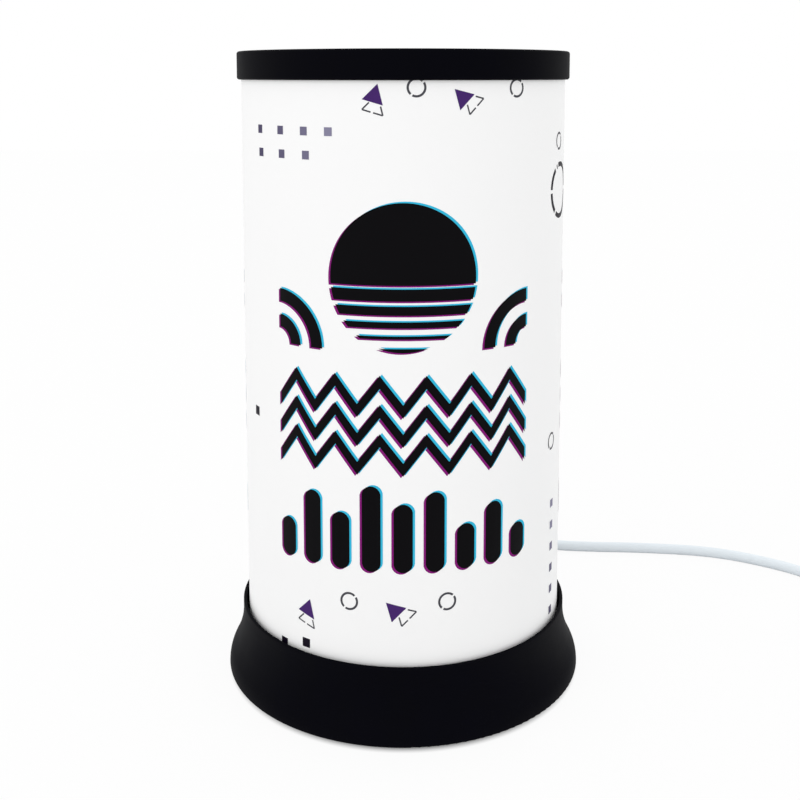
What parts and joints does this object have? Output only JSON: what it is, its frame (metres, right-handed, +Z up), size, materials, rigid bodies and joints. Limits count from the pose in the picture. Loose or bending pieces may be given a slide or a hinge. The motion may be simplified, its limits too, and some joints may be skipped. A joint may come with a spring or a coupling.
{
  "type": "rotating motion lamp",
  "caption": "Rotating motion lamp: a printed shade hangs from a vaned wheel on a needle over a bulb in a flared base, with a mains lead, inline rocker switch and plug.",
  "frame": {"origin": "on the table under the middle of the lamp's base", "axes": "+Z up along the shade's axis, -Y towards the viewer, +X to the viewer's right, where the lead runs"},
  "size_m": [0.3585, 0.1986, 0.236],
  "materials": {
    "black_plastic": "satin",
    "fan_plastic": "satin",
    "holder_plastic": "moulded gloss",
    "steatite": "matt",
    "brass": "bright",
    "zinc_steel": "zinc plated",
    "black_screw": "black oxide",
    "solder": "dull",
    "black_glass": "glassy",
    "nickel": "nickel",
    "clear_glass": "clear",
    "stem_glass": "clear",
    "tungsten": "drawn",
    "steel_wire": "drawn",
    "needle_steel": "polished",
    "printed_film": "printed, satin",
    "clear_strip": "clear",
    "white_pvc": "smooth",
    "brown_pvc": "smooth",
    "blue_pvc": "smooth",
    "fibre_board": "pressed",
    "tie_strap": "matt",
    "white_plastic": "moulded",
    "rocker_plastic": "moulded",
    "nickel_brass": "nickel plated",
    "foot_rubber": "matt"
  },
  "bodies": {
    "base": {"base_shell": "black_plastic", "bottom_cover": "black_plastic", "cover_screws": "zinc_steel", "fixing_nipple": "zinc_steel", "nipple_nut": "brass", "nipple_washer": "zinc_steel", "lampholder_lower": "holder_plastic", "lampholder_upper": "holder_plastic", "contact_block": "steatite", "terminals": "brass", "terminal_screws": "zinc_steel", "contact_rivets": "brass", "screw_shell": "brass", "centre_contact": "brass", "bulb_contact": "solder", "bulb_insulator": "black_glass", "bulb_cap": "nickel", "bulb_glass": "clear_glass", "bulb_stem": "stem_glass", "bulb_filament": "tungsten", "pivot_frame": "steel_wire", "needle_collar": "brass", "collar_screw": "zinc_steel", "pivot_needle": "needle_steel", "strain_relief": "white_pvc", "cord_inner": "white_pvc", "core_live": "brown_pvc", "core_neutral": "blue_pvc", "cord_clamp": "fibre_board", "clamp_screws": "zinc_steel", "cord_to_switch": "white_pvc", "cord_to_coil": "white_pvc", "cord_coil": "white_pvc", "cord_to_plug": "white_pvc", "coil_tie": "tie_strap", "switch_base": "white_plastic", "switch_cover": "white_plastic", "rocker_pin": "zinc_steel", "switch_contacts": "brass", "switch_screws": "zinc_steel", "plug_body": "white_plastic", "plug_pins": "nickel_brass", "pin_sleeves": "white_plastic", "foot_1": "foot_rubber", "foot_2": "foot_rubber", "foot_3": "foot_rubber", "foot_4": "foot_rubber"},
    "rotor": {"pivot_cup": "brass", "hub_cap": "black_plastic", "fan_wheel": "fan_plastic", "top_ring": "black_plastic", "ring_screws": "black_screw", "shade_film": "printed_film", "seam_strip": "clear_strip", "lower_ring": "black_plastic"},
    "rocker": {"switch_rocker": "rocker_plastic", "contact_bridge": "brass"}
  },
  "joints": [
    {"name": "rotor_spin", "type": "hinge", "parent": "base", "child": "rotor", "pos_m": [0, 0, 0.2], "axis": [0, 0, 1], "continuous": true},
    {"name": "rocker_tip", "type": "hinge", "parent": "base", "child": "rocker", "pos_m": [0.1987, -0.0037, 0.0096], "axis": [1, 0, 0], "range_deg": [0, 16]}
  ]
}
